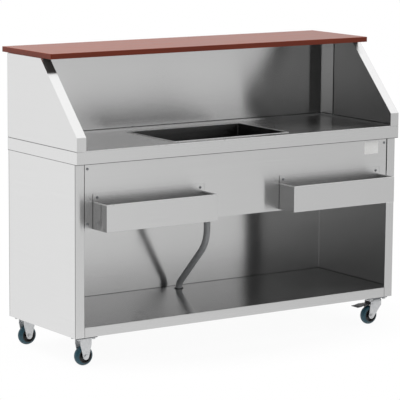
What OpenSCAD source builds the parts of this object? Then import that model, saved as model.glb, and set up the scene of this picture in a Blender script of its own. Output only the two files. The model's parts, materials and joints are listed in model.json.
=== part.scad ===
// Mobile bar unit: steel cabinet on castors with ice bin, bottle racks and a raised wooden bar top.
// Millimetres. +X runs along the bar, the bartender stands at -Y, +Z is up.
// The origin is on the floor, in the middle of the outline.

/* [Cabinet] */
// Length of the cabinet
cab_w = 1500; // [1400:10:1800]
// Depth of the cabinet without racks and bar top
cab_d = 490; // [460:10:600]
// Height from the lower edge to the worktop's apron
cab_h = 650; // [600:10:720]
// Thickness of the steel sheet
sheet_t = 1.2; // [1:0.1:1.5]
// Outer radius of every fold
fold_r = 2.6; // [2.4:0.1:3]
// Width of the front flange of a side panel
flange_w = 40; // [32:1:46]
// Second fold of the front flange
flange_return = 12; // [9:1:16]
// Width of the rear flange of a side panel
rear_flange_w = 18; // [16:1:24]
// Height of the shelf above the lower edge
shelf_h = 38; // [30:1:45]
// Thickness of the castor rails
rail_t = 2; // [1.5:0.5:3]
// Distance between the rivets of the back panel
rivet_pitch = 150; // [120:10:180]

/* [Worktop] */
// Overhang of the worktop at the ends and the back
overhang = 2; // [1.5:0.5:4]
// Overhang of the worktop at the front
front_overhang = 16; // [12:1:18]
// Height of the worktop's apron
apron_h = 47; // [42:1:60]
// Width of the raised rim
rim_w = 30; // [28:1:40]
// Depth of the sunk work surface below the rim
recess = 4; // [4:0.5:9]

/* [Ice bin] */
// Length of the bin
bin_w = 530; // [400:10:600]
// Depth of the bin from front to back
bin_d = 336; // [280:2:350]
// Height of the bin inside
bin_h = 200; // [150:5:230]
// Corner radius of the bin
bin_r = 4; // [3:1:20]
// Width of the bin's flange under the worktop
bin_flange = 15; // [12:1:20]

/* [Drain] */
// Outer diameter of the hose
hose_d = 26; // [24:1:30]
// Bore of the hose
hose_bore = 20; // [16:1:20]
// Distance that the hose runs back
hose_run = 196; // [180:2:205]
// Radius of the upper bend
bend_up = 140; // [120:5:160]
// Radius of the lower bend
bend_low = 40; // [36:1:50]
// Length of hose below the cabinet
hose_out = 30; // [20:1:50]
// Radius of the drain flange in the bin
drain_r = 35; // [30:1:45]

/* [Riser and bar top] */
// Height of the riser between worktop and bar top
riser_h = 322; // [280:2:380]
// Height of the upright front edge of a riser panel
riser_front_h = 52; // [40:1:70]
// Length of the upper edge of a riser panel
riser_top_d = 250; // [220:2:280]
// Return of the riser's back panel on the riser panels
riser_return = 80; // [50:5:110]
// Flange under the bar top
top_flange = 26; // [22:1:32]
// Depth of the bar top
bar_d = 367; // [340:1:420]
// Thickness of the bar top
bar_t = 20; // [18:1:28]
// Overhang of the bar top behind the cabinet
bar_back = 58; // [40:2:100]
// Set-back of the bar top's ends from the cabinet's ends
bar_in = 7; // [0:1:8]
// Width of the flat bar that stiffens the bar top
strip_w = 40; // [30:5:60]
// Thickness of that flat bar
strip_t = 4; // [3:0.5:6]

/* [Fascia and bottle racks] */
// Height of the fascia below the apron
fascia_h = 250; // [240:5:280]
// Set-back of the fascia behind the front flanges
fascia_set = 3; // [2:0.5:5]
// Joint between the fascia and a front flange
fascia_gap = 3; // [1:0.5:5]
// Length of a rack
rack_l = 495; // [450:5:560]
// Depth of a rack
rack_d = 97; // [80:1:110]
// Height of a rack's trough
rack_h = 100; // [80:1:110]
// Height of a rack's back plate
rack_back_h = 132; // [125:1:145]
// Distance of a rack's middle from the middle of the cabinet
rack_x = 425; // [405:1:440]
// Distance of a rack's floor above the lower edge of the fascia
rack_lift = 5; // [2:1:20]
// Distance of a rack's screws from its ends
rack_screw_in = 18; // [14:1:24]

/* [Castors] */
// Height from the floor to the cabinet
castor_h = 112; // [110:1:120]
// Diameter of a wheel
wheel_d = 75; // [70:1:78]
// Width of a tyre
wheel_w = 31; // [26:1:34]
// Length of a castor plate
plate_l = 92; // [90:1:100]
// Width of a castor plate
plate_w = 66; // [64:1:72]
// Thickness of a castor plate
plate_t = 4; // [3.5:0.5:5]
// Bolt spacing along a plate
bolt_dx = 64; // [64:1:68]
// Bolt spacing across a plate
bolt_dy = 44; // [44:1:48]
// Distance of a rigid castor's middle from the end of the cabinet
rigid_in = 56; // [46:1:60]
// Distance of a swivel castor's axis from the end of the cabinet
swivel_in = 64; // [60:1:90]
// Distance of the castors' middle from front and back
castor_y_in = 36; // [36:1:50]
// Trail of a swivel castor
trail = 27; // [24:1:30]
// Thickness of the fork sheet
fork_t = 3; // [2.5:0.5:3.5]
// Gap between brake shoe and tyre when the brake is off
shoe_gap = 3.6; // [3.5:0.1:4.2]

/* [Hidden] */
$fn = 64;
EPS = 0.01;
// Gap where two fixed pieces pass each other without touching
GAP = 0.3;
// Running clearance of a shaft in its hole, on the radius
RUN = 0.06;

// Centre line radius of a fold
fold_mid = fold_r - sheet_t / 2;
half_t = sheet_t / 2;

// Planes of the cabinet
x_end = cab_w / 2;
x_in = x_end - flange_w;
y_front = (rack_d - fascia_set - cab_d - bar_back) / 2;
y_back = y_front + cab_d;
z_base = castor_h;
z_shelf = z_base + shelf_h;
z_apron = z_base + cab_h;
z_work = z_apron + apron_h;
z_deck = z_work - sheet_t;
z_floor = z_work - recess;
z_top = z_work + riser_h;

// Worktop and riser outline
top_w = cab_w + 2 * overhang;
top_d = cab_d + overhang + front_overhang;
x_riser = top_w / 2;
y_riser_front = y_front - front_overhang;
y_riser_back = y_back + overhang;
y_bin = (y_riser_front + y_riser_back) / 2;
y_slope_top = y_riser_back - riser_top_d;
deck_flange = rim_w - overhang - 6;
front_seat = rim_w - front_overhang - 4;
inner_w = top_w - 2 * rim_w;
inner_d = top_d - 2 * rim_w;
// Seam between rim and apron, below the fold
z_seam = z_work - fold_r - 1;

// Shelf
y_shelf_back = y_back - 2 * sheet_t;
hose_y = y_bin + hose_run;
grommet_lip = 3;
grommet_h = 2;
hose_hole_r = hose_d / 2 + 2.5;

// Ice bin and drain
z_bin = z_floor - bin_h;
z_bin_under = z_bin - sheet_t;
gasket_t = 3;
nut_t = 10;
pipe_r = 19;
pipe_bore_r = 15;
pipe_len = 26;
tail_len = 32;
z_pipe = z_bin_under - pipe_len;
z_hose_top = z_pipe - 1;
clip_w = 12;
clip_t = 1.2;

// Hose route
bend_deg = 45;
hose_slant = (hose_run - (bend_up + bend_low) * (1 - cos(bend_deg))) / sin(bend_deg);
hose_drop = (bend_up + bend_low) * sin(bend_deg) + hose_slant * cos(bend_deg);
z_bend_end = z_shelf + grommet_h + 2;
hose_first = z_hose_top - z_bend_end - hose_drop;
hose_last = z_bend_end - z_base + hose_out;
hose_lap = 0.5;
hose_slim = 0.05;

// Fascia and racks
y_fascia = y_front + fascia_set;
z_fascia = z_apron - fascia_h;
fascia_half = x_in - fascia_gap;
fascia_sill = 17;
bracket_t = 2;
bracket_leg = 32;
bracket_side = 28;
bracket_hole_l = 40;
z_rack = z_fascia + rack_lift;
y_rack = y_fascia - rack_d;
hem_h = 9;
z_rack_screw = z_rack + rack_back_h - 15;
fascia_screw_x = x_in - 14;
z_fascia_screws = [z_fascia + 25, z_apron - 20];
screw_r = 2.5;
screw_hole_r = screw_r + 0.2;
screw_head_r = 5;

// Screws of the riser and of the bar top
wood_r = 2.4;
wood_head_r = 4.5;
wood_head_h = 2.6;
wood_grip = 12;
y_bar_back = y_back + bar_back;
y_bar_mid = y_bar_back - bar_d / 2;
bar_w = cab_w - 2 * bar_in;
y_strip = y_slope_top + 80;
strip_half = x_riser - top_flange - 6;

// Castors
wheel_r = wheel_d / 2;
hub_r = wheel_r - 10.5;
boss_half = max(wheel_w, 31) / 2 + 2.5;
leg_in = boss_half + GAP;
leg_out = leg_in + fork_t;
leg_mid = leg_in + fork_t / 2;
leg_fold = fork_t / 2 + 2;
leg_end_r = 13;
axle_r = 4;
axle_hole_r = axle_r + 0.1;
bolt_r = 4;
bolt_hole_r = bolt_r + 0.3;
bolt_af_r = 7.5;
leg_half = bolt_dx / 2 - bolt_af_r - 1;
bolt_head_h = 5.3;
bolt_nut_h = 6.5;
axle_w = wheel_r - castor_h;
left_x = rigid_in - x_end;
right_x = x_end - swivel_in;
castor_front_y = y_front + castor_y_in;
castor_back_y = y_back - castor_y_in;

// Swivel head, heights below the cabinet
race_r = 22.5;
ball_r = 2.5;
groove_r = ball_r + 0.1;
race_up = -plate_t - 3;
ball_w = race_up - 0.9;
race_low = ball_w - 1;
crown_top = race_low - 5;
crown_low = crown_top - fork_t;
pin_r = 6;
pin_head_r = 10.5;
pin_head_h = 3.6;
ball_count = 16;

// Brake, in the plane of a swivel castor: along the trail, then up
brake_u = 20;
brake_w = crown_low - 10;
brake_pin_r = 3;
eye_r = 5.5;
pedal_t = 3;
pedal_deg = -1.5;
shoe_r = 4;
shoe_at = 16;
wheel_from_pin = [trail - brake_u, axle_w - brake_w];
wheel_along = wheel_from_pin[0] * cos(pedal_deg) + wheel_from_pin[1] * sin(pedal_deg);
wheel_below = wheel_from_pin[0] * sin(pedal_deg) - wheel_from_pin[1] * cos(pedal_deg);
shoe_reach = wheel_r + shoe_gap + shoe_r;
shoe_drop = wheel_below - sqrt(shoe_reach * shoe_reach - pow(shoe_at - wheel_along, 2));
pedal_a = [42 * cos(pedal_deg), 42 * sin(pedal_deg)];
pedal_b = pedal_a + [22 * cos(-12), 22 * sin(-12)];
pedal_c = pedal_b + [15 * cos(-3), 15 * sin(-3)];

function sides(v) = [sign(v[0]), sign(v[1])];

// Point where the line from p touches a circle of radius r about c; side is 1 or -1
function touch(p, c, r, side) =
    let (v = p - c, a = atan2(v[1], v[0]) + side * acos(r / norm(v)))
    c + r * [cos(a), sin(a)];

// Sheet folded at right angles along a centre line
module folded(path, t, r) {
    last = len(path) - 2;
    for (i = [0 : last]) {
        d = sides(path[i + 1] - path[i]);
        p = path[i] + d * (i == 0 ? 0 : r);
        q = path[i + 1] - d * (i == last ? 0 : r);
        size = [abs(q[0] - p[0]) + (d[0] == 0 ? t : 0), abs(q[1] - p[1]) + (d[1] == 0 ? t : 0)];
        translate((p + q) / 2)
            square(size, center = true);
    }
    for (i = [1 : 1 : last]) {
        into = sides(path[i] - path[i - 1]);
        away = sides(path[i + 1] - path[i]);
        corner = into - away;
        translate(path[i] - corner * r)
            intersection() {
                difference() {
                    circle(r + t / 2);
                    circle(r - t / 2);
                }
                translate(corner * (r + t) / 2)
                    square(r + t, center = true);
            }
    }
}

// Profile in the plane across the bar (Y, Z), extruded along X
module along_x(half) {
    rotate([90, 0, 90])
        linear_extrude(2 * half, center = true)
            children();
}

// Profile in the plane along the bar (X, Z), extruded from y0 to y1
module along_y(y0, y1) {
    translate([0, y1, 0])
        rotate([90, 0, 0])
            linear_extrude(y1 - y0)
                children();
}

// Rectangle with its two upper corners rounded, standing on the axis
module arch(w, h, r) {
    translate([-w / 2, 0])
        square([w, h - r]);
    translate([-w / 2 + r, 0])
        square([w - 2 * r, h]);
    for (s = [-1, 1])
        translate([s * (w / 2 - r), h - r])
            circle(r);
}

// Block with rounded upper edges
module capped(w, d, h, r) {
    intersection() {
        along_y(-d / 2, d / 2)
            arch(w, h, r);
        along_x(w / 2)
            arch(d, h, r);
    }
}

module rounded_rect(w, d, r) {
    square([w, d - 2 * r], center = true);
    square([w - 2 * r, d], center = true);
    for (x = [-1, 1], y = [-1, 1])
        translate([x * (w / 2 - r), y * (d / 2 - r)])
            circle(r);
}

module mirrored() {
    mirror([1, 0, 0])
        children();
}

// Right side panel; the left one is its mirror image
module side_panel() {
    x_web = x_end - half_t;
    y_rear = y_back - sheet_t - half_t;
    flange_x = x_end - flange_w + half_t;
    z_return = [z_shelf + GAP, z_floor - sheet_t - GAP];
    union() {
        // The return of the front flange stops clear of the shelf and of the sunk surface
        for (z = [[z_base, z_return[0] + EPS], [z_return[1] - EPS, z_deck - fold_r]])
            translate([0, 0, z[0]])
                linear_extrude(z[1] - z[0])
                    folded([[flange_x - half_t, y_front + half_t], [x_web, y_front + half_t],
                        [x_web, y_rear], [x_end - rear_flange_w, y_rear]], sheet_t, fold_mid);
        translate([0, 0, z_return[0]])
            linear_extrude(z_return[1] - z_return[0])
                folded([[flange_x, y_front + flange_return], [flange_x, y_front + half_t],
                    [x_web, y_front + half_t], [x_web, y_rear], [x_end - rear_flange_w, y_rear]],
                    sheet_t, fold_mid);
        along_y(y_front + fold_r + 2, y_rear - fold_r - 2)
            folded([[x_web, z_deck - 30], [x_web, z_deck - half_t],
                [x_end - deck_flange, z_deck - half_t]], sheet_t, fold_mid);
    }
}

module rivet_places() {
    for (x = [-1, 1], i = [0 : floor((cab_h - 80) / rivet_pitch)])
        translate([x * (x_end - rear_flange_w / 2 - 1), y_back - sheet_t, z_base + 60 + i * rivet_pitch])
            rotate([90, 0, 0])
                children();
}

module right_side_panel() {
    color("#c9cccf")
        difference() {
            side_panel();
            rivet_places()
                cylinder(r = wood_r, h = 20, center = true);
            riser_screw_places()
                cylinder(r = wood_r, h = 20, center = true);
        }
}

module left_side_panel() {
    color("#c9cccf")
        difference() {
            mirrored()
                side_panel();
            rivet_places()
                cylinder(r = wood_r, h = 20, center = true);
            riser_screw_places()
                cylinder(r = wood_r, h = 20, center = true);
        }
}

module lower_back_panel() {
    y_web = y_back - half_t;
    color("#c4c7ca")
        difference() {
            union() {
                translate([-x_end, y_back - sheet_t, z_base])
                    cube([cab_w, sheet_t, z_deck - fold_r - 1 - z_base]);
                along_x(x_end - deck_flange - 4)
                    folded([[y_web, z_deck - 30], [y_web, z_deck - half_t],
                        [y_back - deck_flange, z_deck - half_t]], sheet_t, fold_mid);
            }
            rivet_places()
                cylinder(r = wood_r, h = 20, center = true);
            riser_screw_places()
                cylinder(r = wood_r, h = 20, center = true);
        }
}

module back_panel_rivets() {
    color("#a9adb1")
        rivet_places()
            rotate_extrude()
                union() {
                    translate([0, -sheet_t])
                        square([wood_r, 2 * sheet_t]);
                    translate([0, sheet_t])
                        square([wood_head_r, 1.2]);
                    translate([0, -sheet_t - 1.2])
                        square([wood_head_r, 1.2]);
                }
}

module base_shelf() {
    z_mid = z_shelf - half_t;
    x_wall = x_end - sheet_t - half_t;
    x_flat = x_wall - fold_mid;
    y_rear = y_shelf_back - half_t;
    color("#c6c9cc")
        difference() {
            union() {
                along_x(x_in)
                    folded([[y_front + half_t, z_base], [y_front + half_t, z_mid],
                        [y_rear, z_mid], [y_rear, z_base + 4]], sheet_t, fold_mid);
                for (s = [0, 1])
                    mirror([s, 0, 0]) {
                        along_y(y_front + fold_r + GAP, y_shelf_back + sheet_t - fold_r - GAP)
                            folded([[x_wall, z_base + 4], [x_wall, z_mid], [x_in - 40, z_mid]],
                                sheet_t, fold_mid);
                        // Corners cut out beside the folds of the side panel
                        translate([x_in - 40, y_front + sheet_t + GAP, z_shelf - sheet_t])
                            cube([x_flat - x_in + 40, y_shelf_back - y_front - sheet_t - 2 * GAP, sheet_t]);
                    }
            }
            translate([0, hose_y, z_shelf - 10])
                cylinder(r = hose_hole_r, h = 20);
        }
}

// Channel under the shelf that takes the castor bolts, from x0 to x1
module castor_rail(x0, x1) {
    y0 = y_front + sheet_t + GAP;
    y1 = y_shelf_back - sheet_t - GAP;
    h = rail_t / 2;
    relief = fold_r - sheet_t;
    z_relief = z_shelf - fold_r - GAP;
    difference() {
        along_y(y0, y1)
            folded([[x0 + h, z_shelf - sheet_t], [x0 + h, z_base + h], [x1 - h, z_base + h],
                [x1 - h, z_shelf - sheet_t]], rail_t, rail_t);
        // The upper edges stay clear of the folds of the shelf
        for (x = [x0, x1])
            translate([x - relief, y0 - 1, z_relief])
                cube([2 * relief, y1 - y0 + 2, fold_r]);
        for (y = [y0, y1])
            translate([x0 - 1, y - relief, z_relief])
                cube([x1 - x0 + 2, 2 * relief, fold_r]);
    }
}

module left_castor_rail() {
    color("#b9bcbf")
        difference() {
            castor_rail(sheet_t * 2 + GAP - x_end, left_x + plate_l / 2 + 20);
            bolt_places()
                bolt_hole();
        }
}

module right_castor_rail() {
    color("#b9bcbf")
        difference() {
            castor_rail(right_x - plate_l / 2 - 20, x_end - sheet_t * 2 - GAP);
            bolt_places()
                bolt_hole();
        }
}

module front_fascia() {
    color("#c3c6c9")
        difference() {
            translate([-fascia_half, y_fascia, z_fascia])
                cube([2 * fascia_half, sheet_t, z_deck - z_fascia]);
            fascia_screw_places()
                cylinder(r = screw_hole_r, h = 20, center = true);
            rack_screw_places()
                cylinder(r = screw_hole_r, h = 20, center = true);
        }
}

// Flat strips on the back of the fascia: a sill at its lower edge, a seat under the worktop
module fascia_strips() {
    y_strips = y_fascia + sheet_t;
    color("#b4b7ba") {
        translate([-fascia_half, y_strips, z_fascia])
            cube([2 * fascia_half, fascia_sill - sheet_t, sheet_t]);
        translate([-fascia_half, y_strips, z_deck - sheet_t])
            cube([2 * fascia_half, y_front + front_seat - y_strips, sheet_t]);
    }
}

// Angle behind the fascia, on the right front flange
module fascia_bracket() {
    translate([0, 0, z_fascia + 10])
        linear_extrude(fascia_h)
            folded([[x_in - bracket_leg, y_fascia + sheet_t + bracket_t / 2],
                [x_in - bracket_t / 2, y_fascia + sheet_t + bracket_t / 2],
                [x_in - bracket_t / 2, y_fascia + sheet_t + bracket_side]], bracket_t, bracket_t);
}

module right_fascia_bracket() {
    color("#b4b7ba")
        difference() {
            fascia_bracket();
            fascia_screw_places()
                cylinder(r = screw_r, h = bracket_hole_l, center = true);
        }
}

module left_fascia_bracket() {
    color("#b4b7ba")
        difference() {
            mirrored()
                fascia_bracket();
            fascia_screw_places()
                cylinder(r = screw_r, h = bracket_hole_l, center = true);
        }
}

// On the front face of the fascia, axis towards the bartender
module fascia_screw_places() {
    for (x = [-1, 1], z = z_fascia_screws)
        translate([x * fascia_screw_x, y_fascia, z])
            rotate([90, 0, 0])
                children();
}

module rack_screw_places() {
    for (x = [-1, 1], e = [-1, 1])
        translate([x * rack_x + e * (rack_l / 2 - rack_screw_in), y_fascia, z_rack_screw])
            rotate([90, 0, 0])
                children();
}

// Pan head screw; the head rests on the plane z = 0 and the shank goes down
module pan_screw(r, head_r, head_h, length) {
    slot_w = 1.2;
    slot_depth = 1.4;
    difference() {
        rotate_extrude()
            union() {
                translate([0, -length])
                    square([r, length + EPS]);
                intersection() {
                    square([head_r, head_h]);
                    translate([0, head_h - 1.8 * head_r])
                        circle(1.8 * head_r);
                }
            }
        for (side = [[head_r, slot_w], [slot_w, head_r]])
            translate([-side[0] / 2, -side[1] / 2, head_h - slot_depth])
                cube([side[0], side[1], 2 * slot_depth]);
    }
}

module fascia_screws() {
    color("#3b3d40")
        fascia_screw_places()
            pan_screw(screw_r, screw_head_r, 3, 12);
}

module rack_screws() {
    color("#3b3d40")
        rack_screw_places() {
            translate([0, 0, sheet_t])
                pan_screw(screw_r, screw_head_r, 3, 12);
            translate([0, 0, -sheet_t - 4])
                difference() {
                    cylinder(r = 4.6, h = 4, $fn = 6);
                    translate([0, 0, -1])
                        cylinder(r = screw_r + RUN, h = 6);
                }
        }
}

// Sunk surface with the opening of the bin
module worktop() {
    color("#cdd0d3")
        translate([0, y_bin, z_floor - sheet_t])
            linear_extrude(sheet_t)
                difference() {
                    square([inner_w + 2 * sheet_t, inner_d + 2 * sheet_t], center = true);
                    rounded_rect(bin_w, bin_d, bin_r);
                }
}

// Sheet over the whole outline, open below
module worktop_shell() {
    translate([0, y_bin, z_apron])
        difference() {
            capped(top_w, top_d, apron_h, fold_r);
            translate([0, 0, -1])
                capped(top_w - 2 * sheet_t, top_d - 2 * sheet_t, apron_h - sheet_t + 1, fold_r - sheet_t);
        }
}

// Block of the outline between two heights, with room to spare outside
module worktop_slice(z0, z1) {
    translate([-top_w, y_bin - top_d, z0])
        cube([2 * top_w, 2 * top_d, z1 - z0]);
}

module worktop_rim() {
    color("#cdd0d3")
        difference() {
            union() {
                intersection() {
                    worktop_shell();
                    worktop_slice(z_seam, z_work + 1);
                }
                translate([-inner_w / 2 - sheet_t, y_bin - inner_d / 2 - sheet_t, z_floor])
                    cube([inner_w + 2 * sheet_t, inner_d + 2 * sheet_t, recess - half_t]);
            }
            translate([-inner_w / 2, y_bin - inner_d / 2, z_floor - 1])
                cube([inner_w, inner_d, recess + 2]);
            riser_screw_places()
                cylinder(r = wood_r, h = 20, center = true);
        }
}

module worktop_apron() {
    color("#cdd0d3")
        intersection() {
            worktop_shell();
            worktop_slice(z_apron - 1, z_seam);
        }
}

module ice_bin() {
    color("#bfc2c5")
        translate([0, y_bin, z_bin_under])
            difference() {
                union() {
                    linear_extrude(bin_h)
                        rounded_rect(bin_w + 2 * sheet_t, bin_d + 2 * sheet_t, bin_r + sheet_t);
                    translate([0, 0, bin_h - sheet_t])
                        linear_extrude(sheet_t)
                            rounded_rect(bin_w + 2 * bin_flange, bin_d + 2 * bin_flange, bin_r + bin_flange);
                }
                translate([0, 0, sheet_t])
                    linear_extrude(bin_h)
                        rounded_rect(bin_w, bin_d, bin_r);
                translate([0, 0, -1])
                    cylinder(r = pipe_r + 0.2, h = 5);
            }
}

// Flange, strainer, threaded pipe and hose tail in one turned piece
module drain_flange() {
    color("#d3d5d7")
        translate([0, y_bin, z_bin])
            difference() {
                rotate_extrude()
                    polygon([[0, 0.4], [0, 1.6], [pipe_bore_r, 1.6], [pipe_bore_r + 4, 2.4],
                        [drain_r - 4, 2.4], [drain_r, 0.8], [drain_r, 0], [pipe_r, 0],
                        [pipe_r, -sheet_t - pipe_len], [hose_bore / 2, -sheet_t - pipe_len],
                        [hose_bore / 2, -sheet_t - pipe_len - tail_len],
                        [hose_bore / 2 - 2, -sheet_t - pipe_len - tail_len],
                        [hose_bore / 2 - 2, -sheet_t - pipe_len + 3],
                        [pipe_bore_r, -sheet_t - pipe_len + 8], [pipe_bore_r, 0.4]]);
                for (ring = [[5, 6], [10, 12]], i = [0 : ring[1] - 1])
                    rotate([0, 0, i * 360 / ring[1]])
                        translate([ring[0], 0, -1])
                            cylinder(r = 1.8, h = 5);
            }
}

module drain_gasket() {
    color("#2b2b2b")
        translate([0, y_bin, z_bin_under - gasket_t])
            difference() {
                cylinder(r = drain_r - 3, h = gasket_t);
                translate([0, 0, -1])
                    cylinder(r = pipe_r + 0.2, h = gasket_t + 2);
            }
}

module drain_nut() {
    color("#cfd1d3")
        translate([0, y_bin, z_bin_under - gasket_t - nut_t])
            difference() {
                cylinder(r = drain_r - 4, h = nut_t, $fn = 6);
                translate([0, 0, -1])
                    cylinder(r = pipe_r, h = nut_t + 2);
            }
}

// Round rod along the route of the hose, starting at the origin and going down;
// its straight lengths lap a little over the bends
module hose_route(r, extra) {
    translate([0, 0, -hose_first - hose_lap])
        cylinder(r = r, h = hose_first + hose_lap + extra);
    translate([0, 0, -hose_first]) {
        hose_bend(r, bend_up, 1);
        translate([0, bend_up, 0])
            rotate([bend_deg, 0, 0])
                translate([0, -bend_up, -hose_slant]) {
                    translate([0, 0, -hose_lap])
                        cylinder(r = r, h = hose_slant + 2 * hose_lap);
                    hose_bend(r, bend_low, -1);
                    translate([0, -bend_low, 0])
                        rotate([-bend_deg, 0, 0])
                            translate([0, bend_low, -hose_last - extra])
                                cylinder(r = r, h = hose_last + hose_lap + extra);
                }
    }
}

// Bend that starts at the origin going down and turns to the back (1) or to the front (-1)
module hose_bend(r, bend, way) {
    translate([0, way * bend, 0])
        rotate([0, way * 90, 0])
            rotate([0, 0, way * -90])
                rotate_extrude(angle = bend_deg)
                    translate([bend, 0])
                        circle(r - hose_slim);
}

module drain_hose() {
    color("#8f9396")
        translate([0, y_bin, z_hose_top])
            difference() {
                hose_route(hose_d / 2, 0);
                hose_route(hose_bore / 2, 1);
            }
}

module hose_clip() {
    color("#d0d2d4")
        translate([0, y_bin, z_hose_top - 8 - clip_w])
            difference() {
                union() {
                    cylinder(r = hose_d / 2 + clip_t, h = clip_w);
                    translate([hose_d / 2, -9, 1])
                        cube([7, 18, clip_w - 2]);
                    translate([hose_d / 2 + 4, 9 + 6, clip_w / 2])
                        rotate([90, 0, 0])
                            cylinder(r = 3.4, h = 30);
                }
                translate([0, 0, -1])
                    cylinder(r = hose_d / 2, h = clip_w + 2);
            }
}

module shelf_grommet() {
    outer = hose_hole_r + grommet_lip;
    color("#232323")
        translate([0, hose_y, z_shelf - half_t])
            rotate_extrude()
                union() {
                    translate([hose_d / 2, -half_t - grommet_h])
                        square([hose_hole_r - hose_d / 2, sheet_t + 2 * grommet_h]);
                    for (s = [-1, 1])
                        translate([hose_d / 2, s * (half_t + grommet_h / 2) - grommet_h / 2])
                            square([outer - hose_d / 2, grommet_h]);
                }
}

// Right riser panel; the left one is its mirror image
module riser_panel() {
    x_web = x_riser - half_t;
    run = [y_slope_top - y_riser_front, riser_h - riser_front_h];
    inward = [run[1], -run[0]] * sheet_t / norm(run);
    bend = [y_riser_front, z_work + riser_front_h];
    inner_bend = [bend[0] + sheet_t, bend[1] + inward[1] + (sheet_t - inward[0]) * run[1] / run[0]];
    inner_top = [y_slope_top + sheet_t * norm(run) / run[1], z_top];
    // The web's edges run in the middle of the strip's thickness
    mid_bend = (bend + inner_bend) / 2;
    y_end = y_riser_back - fold_r - 2;
    z_low = z_work + fold_r + 1;
    z_high = z_top - fold_r - 1;
    y_high = mid_bend[0] + (z_high - mid_bend[1]) * run[0] / run[1];
    union() {
        translate([x_riser - sheet_t, 0, 0])
            rotate([90, 0, 90])
                linear_extrude(sheet_t)
                    polygon([[y_riser_front + half_t, z_low], mid_bend, [y_high, z_high],
                        [y_riser_back, z_high], [y_riser_back, z_low]]);
        translate([x_riser - flange_w, 0, 0])
            rotate([90, 0, 90])
                linear_extrude(flange_w)
                    polygon([[y_riser_front, z_work], bend, [y_slope_top, z_top], inner_top, inner_bend,
                        [y_riser_front + sheet_t, z_work]]);
        along_y(y_slope_top + half_t, y_end)
            folded([[x_web, z_top - 20], [x_web, z_top - half_t],
                [x_riser - top_flange, z_top - half_t]], sheet_t, fold_mid);
        along_y(y_riser_front + half_t, y_end)
            folded([[x_web, z_work + 20], [x_web, z_work + half_t],
                [x_riser - rim_w + 8, z_work + half_t]], sheet_t, fold_mid);
    }
}

// Through the cabinet's upper flanges, the rim and the riser's lower flanges, heads below
module riser_screw_places() {
    z_head = z_deck - sheet_t;
    side_x = x_riser - (rim_w - 8) / 2 - 2;
    for (x = [-1, 1], f = [0.15, 0.5, 0.8])
        translate([x * side_x, y_front + f * cab_d, z_head])
            mirror([0, 0, 1])
                children();
    for (f = [-0.36, -0.12, 0.12, 0.36])
        translate([f * cab_w, y_riser_back - (rim_w - 8) / 2 - 2, z_head])
            mirror([0, 0, 1])
                children();
}

module riser_screws() {
    color("#8d9195")
        riser_screw_places()
            pan_screw(wood_r, wood_head_r, wood_head_h, 3 * sheet_t + 4);
}

module right_riser_panel() {
    color("#ced1d4")
        difference() {
            riser_panel();
            riser_screw_places()
                cylinder(r = wood_r, h = 20, center = true);
            bar_screw_places()
                cylinder(r = wood_r, h = 20, center = true);
        }
}

module left_riser_panel() {
    color("#ced1d4")
        difference() {
            mirrored()
                riser_panel();
            riser_screw_places()
                cylinder(r = wood_r, h = 20, center = true);
            bar_screw_places()
                cylinder(r = wood_r, h = 20, center = true);
        }
}

module riser_back_panel() {
    y_web = y_riser_back - half_t;
    x_leg = x_riser - sheet_t - half_t;
    x_flange = x_riser - max(rim_w, top_flange) - 6;
    tab_h = fold_r + 1;
    color("#c8cbce")
        difference() {
            union() {
                // Tabs that close the corners beside the flanges
                for (x = [-x_riser + sheet_t, x_flange - 1], z = [z_work, z_top - tab_h - EPS])
                    translate([x, y_riser_back - sheet_t, z])
                        cube([x_riser - sheet_t - x_flange + 1, sheet_t, tab_h + EPS]);
                translate([0, 0, z_work + fold_r + 1])
                    linear_extrude(riser_h - 2 * fold_r - 2)
                        folded([[-x_leg, y_riser_back - riser_return], [-x_leg, y_web],
                            [x_leg, y_web], [x_leg, y_riser_back - riser_return]], sheet_t, fold_mid);
                along_x(x_flange)
                    folded([[y_riser_back - rim_w + 8, z_work + half_t], [y_web, z_work + half_t],
                        [y_web, z_top - half_t], [y_riser_back - top_flange, z_top - half_t]],
                        sheet_t, fold_mid);
            }
            riser_screw_places()
                cylinder(r = wood_r, h = 20, center = true);
            bar_screw_places()
                cylinder(r = wood_r, h = 20, center = true);
        }
}

module top_strip() {
    color("#b9bcbf")
        difference() {
            translate([-strip_half, y_strip - strip_w / 2, z_top - strip_t])
                cube([2 * strip_half, strip_w, strip_t]);
            bar_screw_places()
                cylinder(r = wood_r, h = 20, center = true);
        }
}

// Under the bar top's flanges, heads below
module bar_screw_places() {
    for (x = [-1, 1], f = [0.2, 0.8])
        translate([x * (x_riser - top_flange + 6), y_slope_top + f * (riser_top_d - 20), z_top - sheet_t])
            mirror([0, 0, 1])
                children();
    for (f = [-0.36, -0.12, 0.12, 0.36])
        translate([f * cab_w, y_riser_back - top_flange + 9, z_top - sheet_t])
            mirror([0, 0, 1])
                children();
    for (f = [-0.3, 0, 0.3])
        translate([f * cab_w, y_strip, z_top - strip_t])
            mirror([0, 0, 1])
                children();
}

module bar_top_screws() {
    color("#8d9195")
        bar_screw_places()
            pan_screw(wood_r, wood_head_r, wood_head_h, sheet_t + wood_grip);
}

module bar_top() {
    color("#8a4a36")
        difference() {
            translate([0, y_bar_mid, z_top])
                intersection() {
                    capped(bar_w, bar_d, bar_t, 2);
                    linear_extrude(bar_t)
                        rounded_rect(bar_w, bar_d, 4);
                }
            bar_screw_places()
                translate([0, 0, -sheet_t - wood_grip])
                    cylinder(r = wood_r, h = wood_grip + sheet_t);
        }
}

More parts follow.
